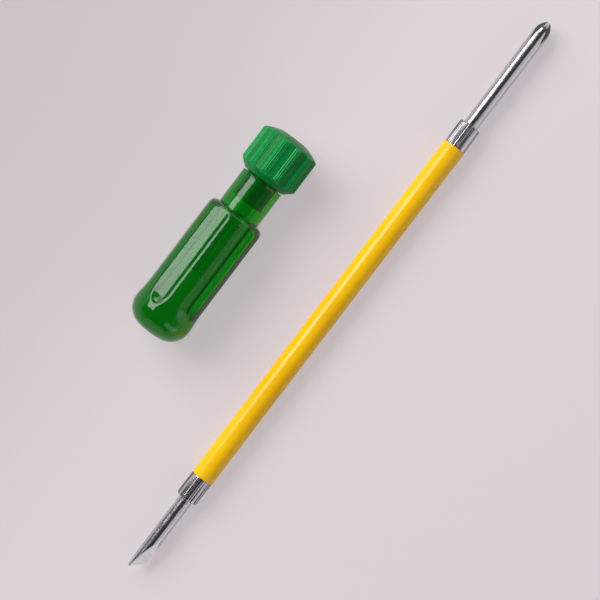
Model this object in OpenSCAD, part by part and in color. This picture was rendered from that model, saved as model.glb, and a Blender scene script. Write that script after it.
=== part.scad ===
// Two-in-one screwdriver: a double-ended blade and the chuck handle that takes either end of it.
// Both pieces lie side by side along X on the plane z = 0, the handle taken off the blade.
// Origin: middle of the pair's footprint. Millimetres, +Z up, cross tip toward +X.

/* [Blade] */
// Diameter of the steel rod
rod_d = 6; // [5:0.1:6.6]
// Bare rod at the flat end, from the ferrule to the tip
flat_reach = 35; // [28:0.5:40]
// Bare rod at the cross end, from the ferrule to the tip
cross_reach = 50; // [40:0.5:54]
// Length of the two ground faces of the flat tip
flat_taper = 14; // [10:0.5:20]
// Thickness of the flat tip at its edge
flat_edge = 0.9; // [0.6:0.1:1.6]
// Turn of the flat tip about the rod
flat_turn = 40; // [0:5:60]
// Slant of the flat tip's edge, zero for a square edge
flat_slant = 40; // [0:5:45]
// Growth of the rod's diameter toward the cross tip
cross_swell = 0.6; // [0:0.1:0.8]
// Length of the rounded nose of the cross tip
cross_nose = 5.3; // [4.6:0.1:7]
// Diameter of the blunt end of the cross tip
cross_blunt = 2; // [1.6:0.1:2.4]
// Length of the four flutes of the cross tip
cross_flute_len = 9.5; // [8:0.5:14]

/* [Sleeve and ferrules] */
// Diameter of the ferrules that the chuck grips
ferrule_d = 9.2; // [8.6:0.1:9.6]
// Length of each ferrule
ferrule_len = 10.5; // [9:0.5:11.5]
// Rounding of the outer edge of each ferrule
ferrule_round = 0.8; // [0.3:0.1:1]
// Length of the insulating sleeve
sleeve_len = 164; // [130:1:200]
// How far the sleeve stands proud of the ferrules, per side
sleeve_lip = 0.2; // [0.1:0.05:0.5]

/* [Grip] */
// Diameter of the grip over its lands
grip_d = 25.4; // [24:0.2:30]
// Length of the grip up to the foot of the neck
grip_len = 57.5; // [50:0.5:70]
// Edge radius of the butt
butt_round = 8.5; // [5:0.5:9]
// Radius of the shoulder under the neck
shoulder_round = 3.6; // [2.6:0.1:3.6]
// Number of flutes
flute_count = 6; // [4:1:6]
// Radius of the hollow of a flute
flute_r = 20; // [16:0.5:24]
// Depth of a flute below the lands
flute_depth = 1.05; // [0.9:0.05:1.3]
// Distance from the butt to the lower end of a flute
flute_start = 11; // [9:0.5:18]
// Turn of the first flute from straight up
flute_turn = -23.5; // [-30:0.5:30]

/* [Neck and collar] */
// Diameter of the neck
neck_d = 18; // [17:0.2:19]
// Length of the neck up to the collar
neck_len = 15.8; // [13:0.2:20]
// Diameter of the collar
collar_d = 25.4; // [23:0.2:28]
// Height of the cone under the collar
collar_cone = 3.2; // [2:0.1:5]
// Height of the straight side of the collar
collar_side = 14.2; // [13:0.2:18]
// Rise of the crowned top of the collar to its mouth
collar_crown = 3; // [2:0.1:4]
// Diameter of the collar's mouth
mouth_d = 10.6; // [10.2:0.1:11]
// Number of scallops round the collar
scallop_count = 12; // [10:1:14]
// Angle of the rib left between two scallops
rib_angle = 6; // [4:0.5:8]
// Depth of a scallop below the ribs
scallop_depth = 0.9; // [0.6:0.1:1.2]
// Turn of the first rib from straight up
rib_turn = -7.5; // [-15:0.5:15]

/* [Chuck inside] */
// Diameter of the spigot that the collar turns on
spigot_d = 14.8; // [14:0.1:15.4]
// Length of the spigot above the neck
spigot_len = 8.2; // [7:0.2:8.6]
// Diameter of the steel bush in the neck
bush_d = 8.8; // [8.4:0.1:8.9]
// Depth of the bush below the top of the neck
bush_depth = 10.4; // [8:0.2:12]
// How far the bush is sunk below the end of the spigot
bush_sink = 0.6; // [0.4:0.1:1.5]
// Width of a slot in the collet
collet_slot = 0.8; // [0.5:0.1:1.2]
// Number of slots in the collet
collet_slots = 4; // [3:1:6]
// Height of the unslotted ring at the foot of the collet
collet_ring = 2; // [1.5:0.1:3]

/* [Fits] */
// Clearance of the open collet round a ferrule, per side
socket_clearance = 0.05; // [0.02:0.01:0.15]
// Running clearance of the collar on its spigot, per side
run_clearance = 0.05; // [0.02:0.01:0.1]
// Clearance of the rod in the bush, per side
guide_clearance = 0.3; // [0.2:0.05:0.4]
// Gap kept between the collar and what it turns over
turn_gap = 0.35; // [0.3:0.05:0.5]
// Room left beyond the tip when the blade is pushed home
tip_room = 1.5; // [0.5:0.5:4]

/* [Layout] */
// Distance between the axes of the blade and the handle
pair_gap = 51.3; // [40:0.1:80]
// Distance of the butt from the flat tip along the blade
handle_set = 80; // [40:1:120]

/* [Hidden] */
$fn = 96;
over = 1;

rod_r = rod_d / 2;
tip_r = rod_r + cross_swell / 2;
ferrule_r = ferrule_d / 2;
sleeve_r = ferrule_r + sleeve_lip;
grip_r = grip_d / 2;
neck_r = neck_d / 2;
collar_r = collar_d / 2;
mouth_r = mouth_d / 2;
spigot_r = spigot_d / 2;
bush_r = bush_d / 2;
guide_r = tip_r + guide_clearance;
socket_r = ferrule_r + socket_clearance;
rest_r = max(grip_r, collar_r);

// Stations along the blade from its flat tip
flat_ferrule_z = flat_reach;
sleeve_z = flat_ferrule_z + ferrule_len;
cross_ferrule_z = sleeve_z + sleeve_len;
cross_rod_z = cross_ferrule_z + ferrule_len;
blade_len = cross_rod_z + cross_reach;
nose_z = blade_len - cross_nose;

// Stations along the handle from its butt
neck_top = grip_len + neck_len;
collar_foot = neck_top + turn_gap;
spigot_top = neck_top + spigot_len;
collar_edge = collar_foot + collar_cone;
crown_edge = collar_edge + collar_side;
collar_top = crown_edge + collar_crown;
collet_len = ferrule_len + 0.1;
collet_top = spigot_top + collet_len;
bush_foot = neck_top - bush_depth;
bore_end = spigot_top - cross_reach - tip_room;

// The pair's place on the ground
foot_y = sleeve_r + pair_gap + rest_r;
blade_y = sleeve_r - foot_y / 2;
handle_y = blade_y + pair_gap;
blade_x = -blade_len / 2;
handle_x = blade_x + handle_set;

// Lays a part built along +Z down along +X; its local 180 degrees then points straight up
module on_blade() {
    translate([blade_x, blade_y, sleeve_r])
    rotate([0, 90, 0])
    children();
}

module on_handle() {
    translate([handle_x, handle_y, rest_r])
    rotate([0, 90, 0])
    children();
}

// Radius of the cutter that leaves a hollow of this span and depth in a round of radius r
function hollow_half(r, span) = r * sin(span / 2);
function hollow_sag(r, span, depth) = depth - r * (1 - cos(span / 2));
function hollow_r(r, span, depth) =
    (pow(hollow_half(r, span), 2) + pow(hollow_sag(r, span, depth), 2)) / (2 * hollow_sag(r, span, depth));

// Tube with plain ends, standing on z
module tube(outer, inner, z, len) {
    translate([0, 0, z])
    difference() {
        cylinder(r = outer, h = len);
        translate([0, 0, -over])
        cylinder(r = inner, h = len + 2 * over);
    }
}

// Ring that takes the end of the grip down to an edge of this radius, the end at z = 0 facing down
module edge_ring(edge) {
    rotate_extrude()
    difference() {
        translate([grip_r - edge, -over])
        square([edge + over, edge + over]);
        translate([grip_r - edge, edge])
        circle(r = edge);
    }
}

// Round-ended flutes that run from above the butt out through the shoulder
module grip_flutes() {
    cut_x = grip_r - flute_depth + flute_r;
    start = flute_start + sqrt(flute_r * flute_r - pow(cut_x - grip_r, 2));
    for (i = [0 : flute_count - 1]) {
        rotate([0, 0, 180 + flute_turn + i * 360 / flute_count])
        translate([cut_x, 0, start]) {
            sphere(r = flute_r);
            cylinder(r = flute_r, h = grip_len);
        }
    }
}

// Acetate grip, neck and spigot with the stepped blind bore for the blade
module handle_body() {
    drill_point = guide_r * 0.6;
    color([0.02, 0.42, 0.12, 0.85])
    on_handle()
    difference() {
        union() {
            cylinder(r = grip_r, h = grip_len);
            translate([0, 0, grip_len - over])
            cylinder(r = neck_r, h = neck_len + over);
            translate([0, 0, neck_top - over])
            cylinder(r = spigot_r, h = spigot_len + over);
        }
        grip_flutes();
        edge_ring(butt_round);
        translate([0, 0, grip_len])
        mirror([0, 0, 1])
        edge_ring(shoulder_round);
        translate([0, 0, bush_foot])
        cylinder(r = bush_r, h = collar_top);
        translate([0, 0, bore_end])
        cylinder(r = guide_r, h = collar_top);
        translate([0, 0, bore_end - drill_point])
        cylinder(r1 = 0, r2 = guide_r, h = drill_point);
    }
}

// Plain steel bush pressed into the neck to guide the bare rod
module socket_bush() {
    color("dimgray")
    on_handle()
    tube(bush_r, guide_r, bush_foot, spigot_top - bush_sink - bush_foot);
}

// Inside of the collar and outside of the collet share this cone
cone_foot = spigot_top + collet_ring;
cone_foot_r = spigot_r + run_clearance - turn_gap;
cone_top_r = mouth_r + 0.3;

// Slotted cone collet that stands on the spigot and grips a ferrule
module split_collet() {
    color("goldenrod")
    on_handle()
    difference() {
        rotate_extrude()
        polygon([[socket_r, spigot_top], [cone_foot_r - turn_gap, spigot_top],
                 [cone_foot_r - turn_gap, cone_foot], [cone_top_r - turn_gap, collet_top],
                 [socket_r, collet_top]]);
        for (i = [0 : collet_slots - 1]) {
            rotate([0, 0, i * 360 / collet_slots])
            translate([0, -collet_slot / 2, cone_foot])
            cube([spigot_r, collet_slot, collet_len]);
        }
    }
}

// Outline of the collar: cone, straight side and crowned top round the mouth
module collar_profile() {
    span = collar_r * collar_r - mouth_r * mouth_r;
    crown_off = (span - collar_crown * collar_crown) / (2 * collar_crown);
    crown_r = sqrt(collar_r * collar_r + crown_off * crown_off);
    difference() {
        union() {
            polygon([[0, collar_foot], [neck_r, collar_foot], [collar_r, collar_edge],
                     [collar_r, crown_edge], [0, crown_edge]]);
            intersection() {
                translate([0, crown_edge - crown_off])
                circle(r = crown_r);
                translate([0, crown_edge])
                square([collar_r, collar_crown + over]);
            }
        }
        translate([-over, collar_foot - over])
        square([spigot_r + run_clearance + over, cone_foot - collar_foot + over]);
        polygon([[-over, cone_foot - over], [cone_foot_r, cone_foot - over], [cone_foot_r, cone_foot],
                 [cone_top_r, collet_top], [mouth_r, collet_top], [mouth_r, collar_top + over],
                 [-over, collar_top + over]]);
    }
}

// Fluted collar that turns on the spigot and closes the collet
module chuck_collar() {
    pitch = 360 / scallop_count;
    span = pitch - rib_angle;
    cut_r = hollow_r(collar_r, span, scallop_depth);
    color("seagreen")
    on_handle()
    difference() {
        rotate_extrude()
        collar_profile();
        for (i = [0 : scallop_count - 1]) {
            rotate([0, 0, 180 + rib_turn + (i + 0.5) * pitch])
            translate([collar_r - scallop_depth + cut_r, 0, collar_foot - over])
            cylinder(r = cut_r, h = collar_top - collar_foot + 2 * over);
        }
    }
}

// Ground faces and slanted edge of the flat tip
module flat_tip_cuts() {
    half = flat_edge / 2;
    rotate([0, 0, 180 + flat_turn])
    for (side = [0, 180]) {
        rotate([0, 0, side])
        rotate([90, 0, 0])
        translate([0, 0, -rod_d])
        linear_extrude(height = 2 * rod_d)
        polygon([[half, -over], [half, 0], [rod_r, flat_taper], [rod_d, flat_taper], [rod_d, -over]]);
    }
    far = rod_r * cos(flat_turn);
    rotate([90, 0, 90])
    translate([0, 0, -rod_d])
    linear_extrude(height = 2 * rod_d)
    polygon([[far, 0], [far - 2 * rod_d, 2 * rod_d * tan(flat_slant)], [far - 2 * rod_d, -over], [far, -over]]);
}

// Four flutes of the cross tip, a square corner sunk toward the axis at the end
module cross_tip_cuts() {
    core = cross_blunt * 0.42;
    lean = atan((tip_r - core) / cross_flute_len);
    for (i = [0 : 3]) {
        rotate([0, 0, 45 + 90 * i])
        translate([core, 0, blade_len])
        rotate([0, -lean, 0])
        rotate([0, 0, -45])
        translate([0, 0, -2 * cross_flute_len])
        cube([rod_d, rod_d, 3 * cross_flute_len]);
    }
}

// Outline of the rod, swelling toward the cross tip and closing in a rounded nose
module shank_profile() {
    blunt = cross_blunt / 2;
    nose_r = (cross_nose * cross_nose + pow(tip_r - blunt, 2)) / (2 * (tip_r - blunt));
    polygon([[0, 0], [rod_r, 0], [rod_r, cross_rod_z], [tip_r, nose_z], [0, nose_z]]);
    intersection() {
        translate([tip_r - nose_r, nose_z])
        circle(r = nose_r);
        translate([0, nose_z])
        square([tip_r, cross_nose]);
    }
}

// Double-ended steel rod, flat tip at one end and cross tip at the other
module blade_shank() {
    color("silver")
    on_blade()
    difference() {
        rotate_extrude()
        shank_profile();
        flat_tip_cuts();
        cross_tip_cuts();
    }
}

// Steel ferrule with a rounded outer edge, its plain end against the sleeve
module ferrule() {
    rotate_extrude() {
        translate([rod_r, 0])
        square([ferrule_r - rod_r, ferrule_len - ferrule_round]);
        translate([rod_r, ferrule_len - ferrule_round - over])
        square([ferrule_r - ferrule_round - rod_r, ferrule_round + over]);
        translate([ferrule_r - ferrule_round, ferrule_len - ferrule_round])
        circle(r = ferrule_round);
    }
}

module flat_ferrule() {
    color("gainsboro")
    on_blade()
    translate([0, 0, sleeve_z])
    rotate([180, 0, 0])
    ferrule();
}

module cross_ferrule() {
    color("gainsboro")
    on_blade()
    translate([0, 0, cross_ferrule_z])
    ferrule();
}

// Insulating sleeve over the middle of the rod
module insulating_sleeve() {
    color("gold")
    on_blade()
    tube(sleeve_r, rod_r, sleeve_z, sleeve_len);
}

handle_body();
socket_bush();
split_collet();
chuck_collar();
blade_shank();
flat_ferrule();
cross_ferrule();
insulating_sleeve();
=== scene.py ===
import math

import bmesh
import bpy
from mathutils import Matrix, Vector


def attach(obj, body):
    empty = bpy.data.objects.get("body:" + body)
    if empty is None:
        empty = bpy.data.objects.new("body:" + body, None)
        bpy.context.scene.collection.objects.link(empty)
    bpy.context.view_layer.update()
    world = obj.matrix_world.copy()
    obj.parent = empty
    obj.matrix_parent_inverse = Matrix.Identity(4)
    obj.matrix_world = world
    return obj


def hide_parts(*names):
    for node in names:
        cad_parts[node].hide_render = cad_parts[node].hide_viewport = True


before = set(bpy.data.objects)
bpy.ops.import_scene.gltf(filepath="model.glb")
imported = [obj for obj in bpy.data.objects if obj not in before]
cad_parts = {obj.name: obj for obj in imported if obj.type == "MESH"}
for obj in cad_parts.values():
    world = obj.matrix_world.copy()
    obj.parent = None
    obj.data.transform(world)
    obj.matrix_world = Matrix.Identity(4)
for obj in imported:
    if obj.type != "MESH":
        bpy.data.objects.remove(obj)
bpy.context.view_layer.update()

# The blade's rod: one bar of tool steel, ground flat at one end and milled to a cross at the other,
# then polished and plated. Everything else on the blade is pushed on to it. Sizes of pieces are in
# millimetres here and below.
MM = 0.001
blade_axis = (-29.6, 4.8)
flat_end_x, cross_end_x = -135, 135
rod_r = 3.0
flat_rings_x = -115         # rings stand close from the flat end to here, for the grinds
swell_x = 85                # the rod grows from here toward the cross tip
notch_rings_x = 123.7       # rings stand close from here on, for the notches
swell_r = 3.26              # radius there
nose_x = 129.7              # start of the rounded nose
tip_r = 3.3
nose_curve_r = 7.257
blunt_r = 1.0


def turned(corners, axis, steps):
    """Solid of revolution about a line along X through axis = (y, z), from corners of
    (place along X, radius, rounding of the corner, ring spacing up to the next corner), in mm."""
    y, z = axis
    bm = bmesh.new()
    verts = [bm.verts.new((x * MM, y * MM, (z + r) * MM)) for x, r, _, _ in corners]
    for a, b in zip(verts, verts[1:]):
        bm.edges.new((a, b))
    if corners[0][1] > 0:
        bm.edges.new((verts[-1], verts[0]))
    for v, (_, _, rounding, _) in zip(verts, corners):
        if rounding:
            bmesh.ops.bevel(bm, geom=[v], offset=rounding * MM, offset_type="OFFSET", profile=0.5,
                            segments=max(3, round(6 * rounding)), affect="VERTICES", material=-1)
    for (x0, r0, _, ring), (x1, r1, _, _) in zip(corners, corners[1:] + corners[:1]):
        if not ring:
            continue

        def off_line(v):
            return abs((v.co.x / MM - x0) * (r1 - r0) - (v.co.z / MM - z - r0) * (x1 - x0))

        along = [e for e in bm.edges
                 if max(map(off_line, e.verts)) < 1e-4 and e.calc_length() > ring * MM]
        for e in along:
            bmesh.ops.subdivide_edges(bm, edges=[e], cuts=int(e.calc_length() / (ring * MM)))
    bmesh.ops.spin(bm, geom=bm.verts[:] + bm.edges[:], cent=(0, y * MM, z * MM), axis=(1, 0, 0),
                   angle=2 * math.pi, steps=steps, use_merge=True)
    bmesh.ops.remove_doubles(bm, verts=bm.verts, dist=1e-7)
    bmesh.ops.recalc_face_normals(bm, faces=bm.faces)
    return bm


def carve(bm, axis, radius_at):
    """Moves each point to radius_at(x, radius, angle), in mm and in radians from straight up
    toward -Y."""
    y, z = axis[0] * MM, axis[1] * MM
    for v in bm.verts:
        dy, dz = v.co.y - y, v.co.z - z
        r = math.hypot(dy, dz)
        if r > 1e-7:
            k = radius_at(v.co.x / MM, r / MM, math.atan2(-dy, dz)) * MM / r
            v.co.y, v.co.z = y + dy * k, z + dz * k


def mesh_object(bm, name, *materials):
    """Smooth-shaded object of the finished mesh; its true edges, and those between materials,
    stay sharp."""
    true_edge = math.radians(32)
    for f in bm.faces:
        f.smooth = True
    for e in bm.edges:
        same = len({f.material_index for f in e.link_faces}) == 1
        e.smooth = same and e.calc_face_angle(0) < true_edge
    mesh = bpy.data.meshes.new(name)
    bm.to_mesh(mesh)
    bm.free()
    for m in materials:
        mesh.materials.append(m)
    obj = bpy.data.objects.new(name, mesh)
    bpy.context.scene.collection.objects.link(obj)
    return obj


def tint(code):
    """Linear colour of an sRGB hex value."""
    parts = [int(code[i:i + 2], 16) / 255 for i in (1, 3, 5)]
    return [c / 12.92 if c <= 0.04045 else ((c + 0.055) / 1.055) ** 2.4 for c in parts] + [1]


def new_material(name):
    """Material with an empty node tree, and the tree."""
    made = bpy.data.materials.new(name)
    made.use_nodes = True
    made.node_tree.nodes.clear()
    return made, made.node_tree


def add(tree, kind, links, stops=(), **settings):
    """Node of this kind with its settings; links holds each input's value or the output it comes
    from, and stops the (position, colour) of each stop where the node has a colour ramp."""
    made = tree.nodes.new(kind)
    for key, value in settings.items():
        setattr(made, key, value)
    for key, value in links.items():
        if isinstance(value, bpy.types.NodeSocket):
            tree.links.new(value, made.inputs[key])
        else:
            made.inputs[key].default_value = value
    if stops:
        ends = zip(made.color_ramp.elements, (stops[0], stops[-1]))
        for element, (position, code) in ends:
            element.position, element.color = position, tint(code)
        for position, code in stops[1:-1]:
            made.color_ramp.elements.new(position).color = tint(code)
    return made


# Nickel-plated tool steel: a near mirror with faint lengthwise polishing streaks, 0.4 mm wide and
# about 17 mm long, and dull handling marks of about 4 mm.
plated_steel, tree = new_material("nickel_plated_steel")
place = add(tree, "ShaderNodeTexCoord", {})
lengthwise = add(tree, "ShaderNodeMapping", {
    "Vector": place.outputs["Object"], "Scale": (60, 2600, 2600)})
streaks = add(tree, "ShaderNodeTexNoise", {
    "Vector": lengthwise.outputs[0], "Scale": 1.0, "Detail": 2.0})
marks = add(tree, "ShaderNodeTexNoise", {
    "Vector": place.outputs["Object"], "Scale": 260.0, "Detail": 3.0})
steel_tone = add(tree, "ShaderNodeValToRGB", {"Fac": streaks.outputs["Fac"]},
                 stops=((0.3, "#B9B9BC"), (0.7, "#D9D9DB")))
polish = add(tree, "ShaderNodeMapRange", {
    "Value": marks.outputs["Fac"], "From Min": 0.35, "From Max": 0.75,
    "To Min": 0.2, "To Max": 0.27})
streak_bump = add(tree, "ShaderNodeBump", {
    "Height": streaks.outputs["Fac"], "Strength": 0.03, "Distance": 0.00005})
steel = add(tree, "ShaderNodeBsdfPrincipled", {
    "Base Color": steel_tone.outputs[0], "Metallic": 1.0,
    "Roughness": polish.outputs[0], "Normal": streak_bump.outputs[0]})
add(tree, "ShaderNodeOutputMaterial", {"Surface": steel.outputs[0]})

# Ground steel of the tips: matt grey with fine straight wheel marks across the grind, about
# 0.45 mm apart.
ground_steel, tree = new_material("ground_tool_steel")
place = add(tree, "ShaderNodeTexCoord", {})
wheel = add(tree, "ShaderNodeMapping", {
    "Vector": place.outputs["Object"], "Scale": (2200, 160, 160),
    "Rotation": (0, 0, math.radians(40))})
wheel_lines = add(tree, "ShaderNodeTexNoise", {
    "Vector": wheel.outputs[0], "Scale": 1.0, "Detail": 3.0})
ground_tone = add(tree, "ShaderNodeValToRGB", {"Fac": wheel_lines.outputs["Fac"]},
                  stops=((0.3, "#B6B6B8"), (0.7, "#DCDCDD")))
ground_rough = add(tree, "ShaderNodeMapRange", {
    "Value": wheel_lines.outputs["Fac"], "To Min": 0.24, "To Max": 0.42})
wheel_bump = add(tree, "ShaderNodeBump", {
    "Height": wheel_lines.outputs["Fac"], "Strength": 0.2, "Distance": 0.00004})
ground = add(tree, "ShaderNodeBsdfPrincipled", {
    "Base Color": ground_tone.outputs[0], "Metallic": 1.0,
    "Roughness": ground_rough.outputs[0], "Normal": wheel_bump.outputs[0]})
add(tree, "ShaderNodeOutputMaterial", {"Surface": ground.outputs[0]})

nose = [(nose_x + d, tip_r - nose_curve_r + math.sqrt(nose_curve_r ** 2 - d ** 2), 0, 0.25)
        for d in (0, 1, 2, 3, 4, 4.7)]
rod = turned([(flat_end_x, 0, 0, 0), (flat_end_x, rod_r, 0, 0.8), (flat_rings_x, rod_r, 0, 25),
              (swell_x, rod_r, 0, 6), (notch_rings_x, swell_r, 0, 0.2)]
             + nose + [(cross_end_x, blunt_r, 0.12, 0), (cross_end_x, 0, 0, 0)], blade_axis, 128)

# Four milled notches leave a cross: each side of a wing is one plane, leaning out toward the rod.
wing_half = 0.84 / math.sqrt(2)
wing_slope = math.tan(math.radians(14.5)) / math.sqrt(2)
cross_end = Vector((cross_end_x, *blade_axis)) * MM
sideways = [Vector((0, 1, 0)), Vector((0, -1, 0)), Vector((0, 0, 1)), Vector((0, 0, -1))]
cut_tolerance = 1e-6        # metres


def bisected(bm, co, normal, clear=False):
    """Cuts the mesh along a plane, if asked removes what lies beyond it, and gives the cut's
    edges."""
    cut = bmesh.ops.bisect_plane(bm, geom=bm.verts[:] + bm.edges[:] + bm.faces[:],
                                 dist=cut_tolerance, plane_co=co, plane_no=normal,
                                 clear_outer=clear)
    return [e for e in cut["geom_cut"] if isinstance(e, bmesh.types.BMEdge)]


def beyond(point, out):
    """How far a point lies outside the side of a wing that faces out."""
    off = point - cross_end
    return off.dot(out) - wing_half * MM + off.x * wing_slope


def on_side(v, out):
    """Whether a point lies on the side of a wing that faces out."""
    return abs(beyond(v.co, out)) < 2 * cut_tolerance


for out in sideways:
    bisected(rod, cross_end + out * wing_half * MM, (out + Vector((wing_slope, 0, 0))).normalized())
bmesh.ops.remove_doubles(rod, verts=rod.verts, dist=2 * cut_tolerance)
for across in sideways[:2]:
    for above in sideways[2:]:
        notch = [f for f in rod.faces if min(beyond(f.calc_center_median(), across),
                                             beyond(f.calc_center_median(), above)) > cut_tolerance]
        bmesh.ops.delete(rod, geom=notch, context="FACES")
        rim = [e for e in rod.edges if e.is_boundary]
        walls = [[e for e in rim if all(on_side(v, out) for v in e.verts)]
                 for out in (across, above)]
        root = rod.edges.new([v for v in dict.fromkeys(v for e in walls[0] for v in e.verts)
                              if on_side(v, above)])
        for wall in walls:
            for f in bmesh.ops.edgeloop_fill(rod, edges=wall + [root])["faces"]:
                f.material_index = 1

# Two long grinds leave the flat tip's blade, turned about the rod, and a third slants its edge.
flat_turn = math.radians(40)
flat_slant = math.radians(40)
edge_half = 0.45
grind_len, grind_depth = 14, 2.55
corner_y = 2.298            # the edge's leading corner, from the rod's axis
face_up = Vector((0, -math.sin(flat_turn), math.cos(flat_turn)))
tip = Vector((flat_end_x, *blade_axis)) * MM
grinds = [(tip + side * face_up * edge_half * MM,
           (side * face_up * grind_len - Vector((grind_depth, 0, 0))).normalized())
          for side in (1, -1)]
grinds.append((tip + Vector((0, corner_y, 0)) * MM,
               Vector((-1, -math.tan(flat_slant), 0)).normalized()))
for co, normal in grinds:
    for f in bmesh.ops.edgeloop_fill(rod, edges=bisected(rod, co, normal, True))["faces"]:
        f.material_index = 1
bmesh.ops.recalc_face_normals(rod, faces=rod.faces)
rod = mesh_object(rod, "rod", plated_steel, ground_steel)
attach(rod, "blade")
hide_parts("blade_shank")

# The two ferrules: short steel tubes pressed on to the rod at each end of the sleeve, their outside
# rolled with fine straight lines for the collet to bite on and the outer edge rounded over. The
# lines are drawn coarser than the real ones, which are about 0.7 mm apart, so that they show.
ferrule_r = 4.6
pressed_r = 2.98            # bores sink a little into the rod, as press fits do
sleeve_from_x, sleeve_to_x = -89.5, 74.5
ferrule_lines = 30
line_depth = 0.1
crest_share = 0.5           # of the spacing; the rest is groove

# Rolled and plated steel with painted light and shade: lengthwise streaks 0.7 mm wide, bright like
# lit crests and dark like shaded grooves, standing for the real rolled lines.
lined_steel, tree = new_material("rolled_plated_steel")
place = add(tree, "ShaderNodeTexCoord", {})
lengthwise = add(tree, "ShaderNodeMapping", {
    "Vector": place.outputs["Object"], "Scale": (60, 1500, 1500)})
painted_line_shading = add(tree, "ShaderNodeTexNoise", {
    "Vector": lengthwise.outputs[0], "Scale": 1.0, "Detail": 2.0})
lined_tone = add(tree, "ShaderNodeValToRGB", {"Fac": painted_line_shading.outputs["Fac"]},
                 stops=((0.4, "#5E5D5F"), (0.58, "#DAD9DB")))
lined_rough = add(tree, "ShaderNodeMapRange", {
    "Value": painted_line_shading.outputs["Fac"], "To Min": 0.18, "To Max": 0.27})
lined = add(tree, "ShaderNodeBsdfPrincipled", {
    "Base Color": lined_tone.outputs[0], "Metallic": 1.0, "Roughness": lined_rough.outputs[0]})
add(tree, "ShaderNodeOutputMaterial", {"Surface": lined.outputs[0]})

for name, node, inner_x, outer_x in (
        ("flat_end_ferrule", "flat_ferrule", sleeve_from_x, -100),
        ("cross_end_ferrule", "cross_ferrule", sleeve_to_x, 85)):
    ferrule = turned([(inner_x, pressed_r, 0, 0), (inner_x, ferrule_r, 0.12, 0.5),
                      (outer_x, ferrule_r, 0.8, 0), (outer_x, pressed_r, 0, 0)],
                     blade_axis, ferrule_lines * 10)

    def rolled(x, r, angle):
        """Radius with the rolled lines, which run out before both ends; the bore stays."""
        if r <= 4.3:
            return r
        run_out = min(1, max(0, abs(x - outer_x) - 0.5) / 0.6) * min(1, abs(x - inner_x) / 0.4)
        from_crest = abs((angle * ferrule_lines / (2 * math.pi)) % 1 * 2 - 1)
        return r - line_depth * run_out * max(0, from_crest - crest_share) / (1 - crest_share)

    carve(ferrule, blade_axis, rolled)
    ferrule = mesh_object(ferrule, name, lined_steel)
    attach(ferrule, "blade")
    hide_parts(node)

# The insulating sleeve: a length of thick yellow PVC tube shrunk over the middle of the rod between
# the ferrules, cut square and slightly eased at the ends.
sleeve_r = 4.8
sleeve_ease = 0.25
sleeve = turned([(sleeve_from_x, pressed_r, 0, 0), (sleeve_from_x, sleeve_r, sleeve_ease, 1.5),
                 (sleeve_to_x, sleeve_r, sleeve_ease, 0), (sleeve_to_x, pressed_r, 0, 0)],
                blade_axis, 128)


def shrunk(x, r, angle):
    """Radius with the slight waves of a shrunk tube, hundredths of a millimetre deep; the bore
    stays."""
    waves = 0.008 * math.sin(x * 0.21) + 0.004 * math.sin(x * 0.55 + 2 * angle)
    return r - (0.012 + waves) if r > 4.5 else r


carve(sleeve, blade_axis, shrunk)

# Gloss PVC: deep warm yellow, clouded over about 17 mm, under a smooth skin with faint scuffs from
# the bench, 1 mm wide and 6 mm long.
gloss_pvc, tree = new_material("gloss_yellow_pvc")
place = add(tree, "ShaderNodeTexCoord", {})
cloud = add(tree, "ShaderNodeTexNoise", {
    "Vector": place.outputs["Object"], "Scale": 60.0, "Detail": 2.0})
scuffed = add(tree, "ShaderNodeMapping", {
    "Vector": place.outputs["Object"], "Scale": (160, 900, 900)})
scuffs = add(tree, "ShaderNodeTexNoise", {
    "Vector": scuffed.outputs[0], "Scale": 1.0, "Detail": 8.0, "Roughness": 0.6})
pvc_tone = add(tree, "ShaderNodeValToRGB", {"Fac": cloud.outputs["Fac"]},
               stops=((0.3, "#F6BA06"), (0.7, "#FAC20A")))
pvc_rough = add(tree, "ShaderNodeMapRange", {
    "Value": scuffs.outputs["Fac"], "From Min": 0.45, "From Max": 0.75,
    "To Min": 0.17, "To Max": 0.23})
pvc_bump = add(tree, "ShaderNodeBump", {
    "Height": scuffs.outputs["Fac"], "Strength": 0.02, "Distance": 0.00005})
pvc = add(tree, "ShaderNodeBsdfPrincipled", {
    "Base Color": pvc_tone.outputs[0], "Roughness": pvc_rough.outputs[0],
    "IOR": 1.5, "Specular IOR Level": 0.4, "Normal": pvc_bump.outputs[0]})
add(tree, "ShaderNodeOutputMaterial", {"Surface": pvc.outputs[0]})
sleeve = mesh_object(sleeve, "sleeve", gloss_pvc)
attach(sleeve, "blade")
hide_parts("insulating_sleeve")

# The bush: a turned steel tube pressed into the neck of the grip, where it guides the bare rod.
# It shows as a dark band through the green of the neck.
handle_axis = (21.7, 12.7)
bush_foot_x, bush_end_x = 7.9, 25.9
bush_r = 4.43               # a little over its seat, so that no film of air shows round it
guide_r = 3.6
bush = turned([(bush_foot_x, guide_r, 0.15, 0), (bush_foot_x, bush_r, 0.2, 1),
               (bush_end_x, bush_r, 0.2, 0), (bush_end_x, guide_r, 0.15, 0)], handle_axis, 96)

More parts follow.
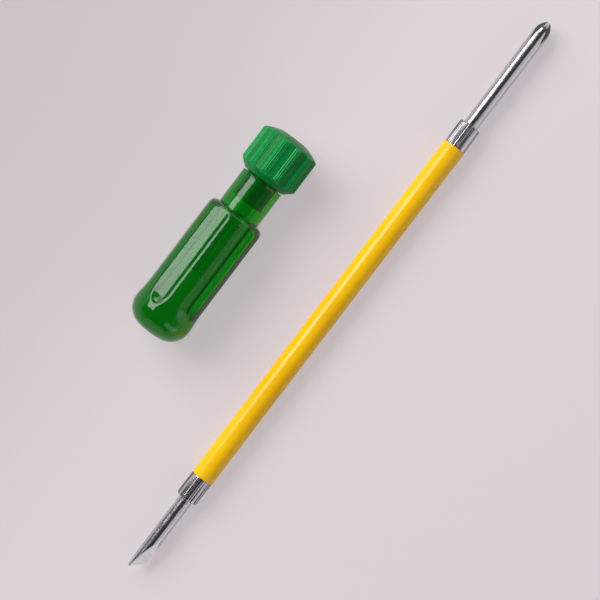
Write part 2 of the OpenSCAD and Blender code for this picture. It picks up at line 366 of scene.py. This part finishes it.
# Turned steel: dull grey with fine tool rings round it, about 0.3 mm apart.
turned_steel, tree = new_material("turned_dull_steel")
place = add(tree, "ShaderNodeTexCoord", {})
round_axis = add(tree, "ShaderNodeMapping", {
    "Vector": place.outputs["Object"], "Scale": (3000, 40, 40)})
rings = add(tree, "ShaderNodeTexNoise", {
    "Vector": round_axis.outputs[0], "Scale": 1.0, "Detail": 3.0})
bush_tone = add(tree, "ShaderNodeValToRGB", {"Fac": rings.outputs["Fac"]},
                stops=((0, "#707073"), (1, "#949498")))
bush_steel = add(tree, "ShaderNodeBsdfPrincipled", {
    "Base Color": bush_tone.outputs[0], "Metallic": 1.0, "Roughness": 0.5})
add(tree, "ShaderNodeOutputMaterial", {"Surface": bush_steel.outputs[0]})
bush = mesh_object(bush, "bush", turned_steel)
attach(bush, "handle")
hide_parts("socket_bush")

# The grip: cast see-through acetate, turned to shape with a long blind bore, milled with six
# round-ended flutes and vapour polished, so that every edge is softened and the surface is glassy.
grip_r, neck_r, spigot_r, seat_r = 12.7, 9.0, 7.4, 4.4
butt_x, neck_x, neck_end_x, spigot_end_x = -55, 2.5, 18.3, 26.5
bore_end_x = -25
flutes = 6
flute_first = math.radians(-23.5)
flute_r = 20.0
flute_depth = 1.05
flute_centre = grip_r - flute_depth + flute_r
flute_ease = 0.45
flute_end = 11              # from the butt to the lower end of a flute
flute_start = butt_x + flute_end + math.sqrt(flute_r ** 2 - (flute_centre - grip_r) ** 2)
grip = turned([(butt_x, 0, 0, 0), (butt_x, grip_r, 8.5, 0.45), (neck_x, grip_r, 3.6, 0),
               (neck_x, neck_r, 0.25, 1.5), (neck_end_x, neck_r, 0.3, 0),
               (neck_end_x, spigot_r, 0.15, 1.5), (spigot_end_x, spigot_r, 0.4, 0),
               (spigot_end_x, seat_r, 0.2, 1.5), (bush_foot_x, seat_r, 0, 0),
               (bush_foot_x, guide_r, 0, 1.5), (bore_end_x, guide_r, 0, 0.6),
               (bore_end_x, 0, 0, 0)], handle_axis, 288)


def eased_min(a, b, ease):
    """Smaller of two radii, with the corner between them eased."""
    h = max(ease - abs(a - b), 0) / ease
    return min(a, b) - h * h * ease / 4


def fluted(x, r, angle):
    """Radius with the flutes, each a round hollow that ends in a ball toward the butt."""
    pitch = 2 * math.pi / flutes
    off = (angle - flute_first + pitch / 2) % pitch - pitch / 2
    ball = flute_r ** 2 - max(0, flute_start - x) ** 2
    reach = ball - (flute_centre * math.sin(off)) ** 2
    if r < neck_r + 0.2 or reach <= 0:
        return r
    return eased_min(r, flute_centre * math.cos(off) - math.sqrt(reach), flute_ease)


carve(grip, handle_axis, fluted)

# Cast cellulose acetate, dyed bottle green: glassy and see-through, darker where it is thick, with
# a faint swirl in the casting, 8 mm wide and 40 mm long, and light wear of about 4 mm in the
# polish.
green_acetate, tree = new_material("cast_green_acetate")
place = add(tree, "ShaderNodeTexCoord", {})
swirl_place = add(tree, "ShaderNodeMapping", {
    "Vector": place.outputs["Object"], "Scale": (25, 120, 120)})
swirl = add(tree, "ShaderNodeTexNoise", {
    "Vector": swirl_place.outputs[0], "Scale": 1.0, "Detail": 3.0, "Distortion": 0.6})
wear = add(tree, "ShaderNodeTexNoise", {
    "Vector": place.outputs["Object"], "Scale": 260.0, "Detail": 8.0})
acetate_tone = add(tree, "ShaderNodeValToRGB", {"Fac": swirl.outputs["Fac"]},
                   stops=((0.3, "#10BE34"), (0.7, "#16CA40")))
acetate_rough = add(tree, "ShaderNodeMapRange", {
    "Value": wear.outputs["Fac"], "From Min": 0.4, "From Max": 0.8,
    "To Min": 0.02, "To Max": 0.08})
acetate = add(tree, "ShaderNodeBsdfPrincipled", {
    "Base Color": acetate_tone.outputs[0], "IOR": 1.48,
    "Roughness": acetate_rough.outputs[0], "Transmission Weight": 0.93})
depth = add(tree, "ShaderNodeVolumeAbsorption", {"Color": tint("#00EE20"), "Density": 230.0})
add(tree, "ShaderNodeOutputMaterial", {"Surface": acetate.outputs[0], "Volume": depth.outputs[0]})
grip = mesh_object(grip, "grip", green_acetate)
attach(grip, "handle")
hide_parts("handle_body")

# The collet: a turned brass cone with four saw cuts, standing on the end of the spigot; the CAD
# solid has its true shape and only takes the material.

# Turned brass: warm and bright with fine tool rings round it, about 0.4 mm apart.
turned_brass, tree = new_material("turned_brass")
place = add(tree, "ShaderNodeTexCoord", {})
round_axis = add(tree, "ShaderNodeMapping", {
    "Vector": place.outputs["Object"], "Scale": (2500, 60, 60)})
rings = add(tree, "ShaderNodeTexNoise", {
    "Vector": round_axis.outputs[0], "Scale": 1.0, "Detail": 3.0})
brass_tone = add(tree, "ShaderNodeValToRGB", {"Fac": rings.outputs["Fac"]},
                 stops=((0, "#A88432"), (1, "#D9B65A")))
brass_rough = add(tree, "ShaderNodeMapRange", {
    "Value": rings.outputs["Fac"], "To Min": 0.2, "To Max": 0.4})
brass = add(tree, "ShaderNodeBsdfPrincipled", {
    "Base Color": brass_tone.outputs[0], "Metallic": 1.0, "Roughness": brass_rough.outputs[0]})
add(tree, "ShaderNodeOutputMaterial", {"Surface": brass.outputs[0]})
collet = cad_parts["split_collet"]
collet.data.materials.clear()
collet.data.materials.append(turned_brass)

# The collar: a moulded green nut that screws on the spigot and closes the collet, with twelve
# scallops for the fingers and fine lengthwise lines, deep on the ribs and faint in the scallops.
# The real lines are about 0.7 mm apart; these are drawn a little coarser, so that they show.
collar_r, foot_r, mouth_r = 12.7, 9.0, 5.3
spigot_bore_r = 7.45
cone_r = (7.1, 5.6)         # the cone inside that closes the collet, at its foot and its end
foot_x, side_x, side_end_x, mouth_x = 18.65, 21.85, 36.05, 39.05
cone_x, cone_end_x = 28.5, 37.1
crown_x, crown_r = 15.35, 24.285    # centre and radius of the crowned top's curve
scallops = 12
scallop_pitch = 2 * math.pi / scallops
rib_first = math.radians(-7.5)
scallop_r = 5.911
scallop_depth = 0.9
scallop_centre = collar_r - scallop_depth + scallop_r
scallop_ease = 0.22
fine_lines = 96
fine_depth = 0.24
lines_from_x = 19.5
painted_rib_from_x, painted_rib_to_x = 20.8, 36.8     # where the ribs take the paler copy of the acetate, with painted light
outside_r = 9.05            # what lies within this radius is left as turned
crown = [(crown_x + math.sqrt(crown_r ** 2 - r ** 2), r, 0, 0.4) for r in (11, 9.5, 8, 6.5)]
collar = turned([(foot_x, spigot_bore_r, 0.15, 0), (foot_x, foot_r, 0.25, 0.25),
                 (side_x, collar_r, 0.5, 1.2), (side_end_x, collar_r, 0.6, 0.3)]
                + crown + [(mouth_x, mouth_r, 0.3, 0), (cone_end_x, mouth_r, 0, 0),
                           (cone_end_x, cone_r[1], 0, 1.5), (cone_x, cone_r[0], 0, 0),
                           (cone_x, spigot_bore_r, 0, 1.5)], handle_axis, 768)


def from_scallop(angle):
    """Angle from the middle of the nearest scallop."""
    return (angle - rib_first) % scallop_pitch - scallop_pitch / 2


def scalloped(x, r, angle):
    """Radius with the scallops and the fine lines, which run out on the cone and the crown."""
    if r < outside_r:
        return r
    off = from_scallop(angle)
    on_rib = 0.25 + 0.75 * min(1, max(0, abs(off) / scallop_pitch - 0.22) / 0.06)
    groove = fine_depth * on_rib * (1 - abs(math.sin(angle * fine_lines / 2)))
    r -= groove * min(1, max(0, x - lines_from_x) / 2, max(0, r - outside_r) / 1.5)
    reach = scallop_r ** 2 - (scallop_centre * math.sin(off)) ** 2
    if reach <= 0:
        return r
    hollow = scallop_centre * math.cos(off) - math.sqrt(reach) - groove
    return eased_min(r, hollow, scallop_ease)


carve(collar, handle_axis, scalloped)
# The ribs take the paler copy, with painted light; the scallops, crown and inside keep the deeper
# one, with painted shade.
for f in collar.faces:
    x, y, z = f.calc_center_median() / MM
    y, z = handle_axis[0] - y, z - handle_axis[1]
    on_rib = abs(from_scallop(math.atan2(y, z))) > 0.25 * scallop_pitch
    if on_rib and painted_rib_from_x < x < painted_rib_to_x and math.hypot(y, z) > outside_r:
        f.material_index = 1

# Moulded acetate, filled so that it is hardly see-through: the grip's green with faint flow marks
# of about 4 mm, in two copies, a deeper one with painted shade in the scallops and a paler one with
# painted light on the ribs.
painted_skins = []
for name, dark, light, smooth, dull in (
        ("green_acetate_painted_shade", "#06702F", "#087C38", 0.18, 0.25),
        ("green_acetate_painted_light", "#0A863C", "#0F9347", 0.16, 0.24)):
    painted_skin, tree = new_material(name)
    place = add(tree, "ShaderNodeTexCoord", {})
    flow = add(tree, "ShaderNodeTexNoise", {
        "Vector": place.outputs["Object"], "Scale": 240.0, "Detail": 4.0})
    tone = add(tree, "ShaderNodeValToRGB", {"Fac": flow.outputs["Fac"]},
               stops=((0.3, dark), (0.7, light)))
    rough = add(tree, "ShaderNodeMapRange", {
        "Value": flow.outputs["Fac"], "To Min": smooth, "To Max": dull})
    moulded = add(tree, "ShaderNodeBsdfPrincipled", {
        "Base Color": tone.outputs[0], "IOR": 1.48,
        "Specular IOR Level": 0.17, "Roughness": rough.outputs[0]})
    add(tree, "ShaderNodeOutputMaterial", {"Surface": moulded.outputs[0]})
    painted_skins.append(painted_skin)
collar = mesh_object(collar, "collar", *painted_skins)
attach(collar, "collar")
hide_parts("chuck_collar")

# The surface under the pair: a wide sheet of background paper, pale under the tool and greyer
# beyond the handle, where shade is painted in, curved up all round at its edge. It keeps their
# shadows, softened by its own even glow. Sizes are in metres from here on.
flat_radius = 2.1
curve_reach = 0.9
curve_rise = 1.1
mirrored_glow = 0.3         # shares of glow where polished pieces mirror the paper
seen_glow = 0.6             # and where it is seen directly or through the acetate
bm = bmesh.new()
bmesh.ops.create_grid(bm, x_segments=96, y_segments=96, size=3)
for v in bm.verts:
    past_flat = min(curve_reach, max(0, v.co.length - flat_radius))
    v.co.z = curve_rise * past_flat ** 2

# Paper: matt, with fibres of about 1 mm and painted shade, a grey that deepens over 200 mm on the
# handle's side.
pale_paper, tree = new_material("paper_with_painted_shade")
place = add(tree, "ShaderNodeTexCoord", {})
shade_place = add(tree, "ShaderNodeMapping", {
    "Vector": place.outputs["Object"], "Scale": (5, 5, 5),
    "Rotation": (0, 0, math.radians(-90))})
shade = add(tree, "ShaderNodeTexGradient", {"Vector": shade_place.outputs[0]})
fibre = add(tree, "ShaderNodeTexNoise", {
    "Vector": place.outputs["Object"], "Scale": 900.0, "Detail": 2.0})
painted_shade_tone = add(tree, "ShaderNodeValToRGB", {"Fac": shade.outputs["Fac"]},
                 stops=((0, "#DED5D9"), (0.05, "#DDD4D8"), (0.36, "#CFC7CA"), (1, "#C2BBBE")))
paper_rough = add(tree, "ShaderNodeMapRange", {
    "Value": fibre.outputs["Fac"], "To Min": 0.8, "To Max": 0.95})
paper = add(tree, "ShaderNodeBsdfPrincipled", {
    "Base Color": painted_shade_tone.outputs[0], "Roughness": paper_rough.outputs[0]})
glow = add(tree, "ShaderNodeEmission", {"Color": painted_shade_tone.outputs[0], "Strength": 1.0})
ray = add(tree, "ShaderNodeLightPath", {})
mirrored = add(tree, "ShaderNodeMath", {0: ray.outputs["Is Glossy Ray"], 1: mirrored_glow},
               operation="MULTIPLY")
direct = add(tree, "ShaderNodeMath", {
    0: ray.outputs["Is Camera Ray"], 1: ray.outputs["Is Transmission Ray"]}, operation="MAXIMUM")
seen = add(tree, "ShaderNodeMath", {0: direct.outputs[0], 1: seen_glow}, operation="MULTIPLY")
share = add(tree, "ShaderNodeMath", {0: mirrored.outputs[0], 1: seen.outputs[0]},
            operation="MAXIMUM")
sheet = add(tree, "ShaderNodeMixShader", {
    "Fac": share.outputs[0], 1: paper.outputs[0], 2: glow.outputs[0]})
add(tree, "ShaderNodeOutputMaterial", {"Surface": sheet.outputs[0]})
floor = mesh_object(bm, "paper_sheet", pale_paper)

# Studio light in a dark room: tall soft boxes beyond the handle and pale cards on the blade's side,
# which polished pieces mirror, a dim wall past each end for views along the blade, and a broad key,
# a weak fill and an even light from above, which they don't mirror.
world = bpy.data.worlds.new("dark_room")
bpy.context.scene.world = world
world.use_nodes = True
room = world.node_tree.nodes["Background"]
room.inputs["Color"].default_value = tint("#B9B6B8")
room.inputs["Strength"].default_value = 0.08


def soft_box(name, place, aim, size, level):
    """Area lamp of this size in metres, whose surface is as bright as level."""
    lamp = bpy.data.lights.new(name, "AREA")
    lamp.shape = "RECTANGLE"
    lamp.size, lamp.size_y = size
    lamp.energy = 4 * level * size[0] * size[1]
    obj = bpy.data.objects.new(name, lamp)
    bpy.context.scene.collection.objects.link(obj)
    obj.location = place
    obj.rotation_mode = "QUATERNION"
    obj.rotation_quaternion = (Vector(aim) - Vector(place)).to_track_quat("-Z", "Y")
    return obj


soft_box("upper_box", (-0.0125, 1.22, 1.18), (-0.0125, 0, 0), (0.455, 0.92), 4.6)
soft_box("far_box", (0.95, 1.14, 1.26), (0.95, 0, 0), (0.9, 1.04), 3.0)
soft_box("lower_box", (-0.035, 1.65, 0.41), (-0.035, 0, 0), (0.5, 0.6), 0.3)
soft_box("rod_box", (0.62, 1.47, 0.85), (0.62, 0, 0), (0.8, 0.5), 1.8)
soft_box("cross_end_card", (0.6, -1.51, 0.87), (0.6, 0, 0), (0.9, 1.85), 0.55)
soft_box("flat_end_card", (-0.85, -1.51, 0.87), (-0.85, 0, 0), (0.9, 1.85), 0.8)
soft_box("handle_card", (-0.08, -1.59, 0.71), (-0.08, 0, 0), (0.36, 1.48), 0.1)
soft_box("cross_end_wall", (2.2, 0, 0.75), (0, 0, 0.75), (2.4, 1.4), 0.35)
soft_box("flat_end_wall", (-2.2, 0, 0.75), (0, 0, 0.75), (2.4, 1.4), 0.35)
for unseen in (soft_box("key", (0.1, 1.36, 1.02), (0, 0, 0), (1.6, 1.0), 3.1),
               soft_box("fill", (0, -1.5, 0.6), (0, 0, 0), (1.4, 0.9), 0.25),
               soft_box("overhead", (0, 0, 1.8), (0, 0, 0), (1.2, 1.2), 0.35)):
    unseen.visible_glossy = False
    unseen.visible_transmission = False

# The camera stands almost straight above the pair, turned so that the blade runs up to the right.
lean = math.radians(2.5)
aim = Vector((-0.010, -0.0178, 0.005))
distance = 0.737
back = Vector((math.sin(lean), 0, math.cos(lean)))
right = Vector((0.606, -0.7955, 0)).normalized()
right = (right - back * right.dot(back)).normalized()
up = back.cross(right)
lens = bpy.data.cameras.new("camera")
lens.lens = 112.2
lens.sensor_width = 36
lens.clip_start, lens.clip_end = 0.01, 20
camera = bpy.data.objects.new("camera", lens)
bpy.context.scene.collection.objects.link(camera)
camera.rotation_mode = "QUATERNION"
turn = [[right[i], up[i], back[i]] for i in range(3)]
camera.rotation_quaternion = Matrix(turn).to_quaternion()
camera.location = aim + back * distance
bpy.context.scene.camera = camera
bpy.context.scene.view_settings.view_transform = "Standard"
